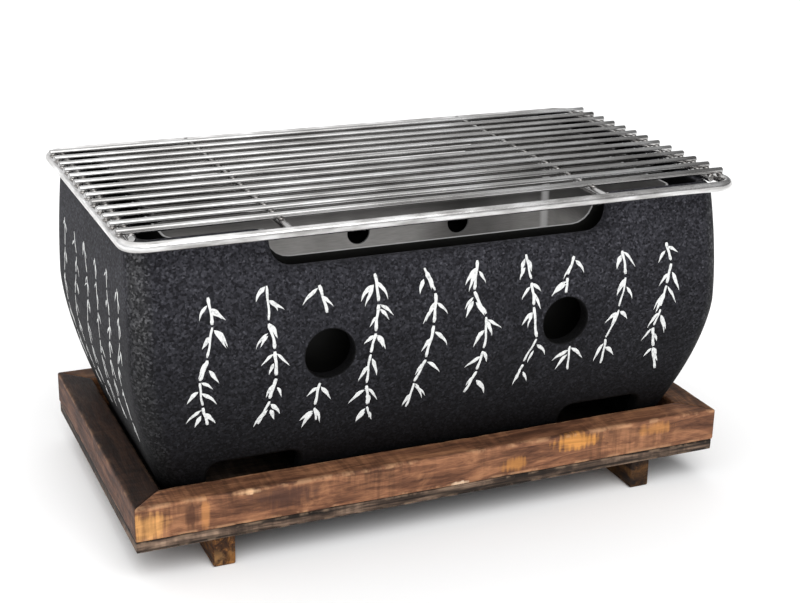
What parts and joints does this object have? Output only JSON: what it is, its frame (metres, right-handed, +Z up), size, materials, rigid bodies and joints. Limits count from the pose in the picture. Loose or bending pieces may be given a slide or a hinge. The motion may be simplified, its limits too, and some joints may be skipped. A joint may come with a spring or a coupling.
{
  "type": "hibachi grill",
  "caption": "Tabletop charcoal hibachi: cast bowl with round air vents, sheet fire box, lift-off wire cooking grate and framed wooden tray on foot bars.",
  "frame": {"origin": "middle of the footprint, on the surface that the foot bars stand on", "axes": "+Z up, +X along the grill's length, -Y towards the front that the picture shows"},
  "size_m": [0.2518, 0.141, 0.1342],
  "materials": {
    "cast_coating": "matte black stone-speckled coating on cast aluminium",
    "box_sheet": "dull grey sheet",
    "grate_wire": "bright stainless wire",
    "scorched_wood": "scorched brown softwood, worn at the edges",
    "screw_steel": "yellow zinc"
  },
  "bodies": {
    "tray": {"tray_rail_front": "scorched_wood", "tray_rail_back": "scorched_wood", "tray_rail_left": "scorched_wood", "tray_rail_right": "scorched_wood", "tray_base_board": "scorched_wood", "foot_bar_left": "scorched_wood", "foot_bar_right": "scorched_wood", "foot_screws": "screw_steel"},
    "bowl": {"bowl_casting": "cast_coating"},
    "fire_box": {"fire_box_wall": "box_sheet", "fire_box_floor": "box_sheet"},
    "grate": {"grate_frame": "grate_wire", "grate_end_bar_left": "grate_wire", "grate_end_bar_right": "grate_wire", "grate_mid_bar_left": "grate_wire", "grate_mid_bar_right": "grate_wire", "grate_rod_01": "grate_wire", "grate_rod_02": "grate_wire", "grate_rod_03": "grate_wire", "grate_rod_04": "grate_wire", "grate_rod_05": "grate_wire", "grate_rod_06": "grate_wire", "grate_rod_07": "grate_wire", "grate_rod_08": "grate_wire", "grate_rod_09": "grate_wire", "grate_rod_10": "grate_wire", "grate_rod_11": "grate_wire", "grate_rod_12": "grate_wire", "grate_rod_13": "grate_wire"}
  },
  "joints": [
    {"name": "bowl_lift", "type": "slide", "parent": "tray", "child": "bowl", "axis": [0, 0, 1], "range_m": [0, 0.04]},
    {"name": "fire_box_lift", "type": "slide", "parent": "bowl", "child": "fire_box", "axis": [0, 0, 1], "range_m": [0, 0.09]},
    {"name": "grate_lift", "type": "slide", "parent": "fire_box", "child": "grate", "axis": [0, 0, 1], "range_m": [0, 0.05]}
  ]
}
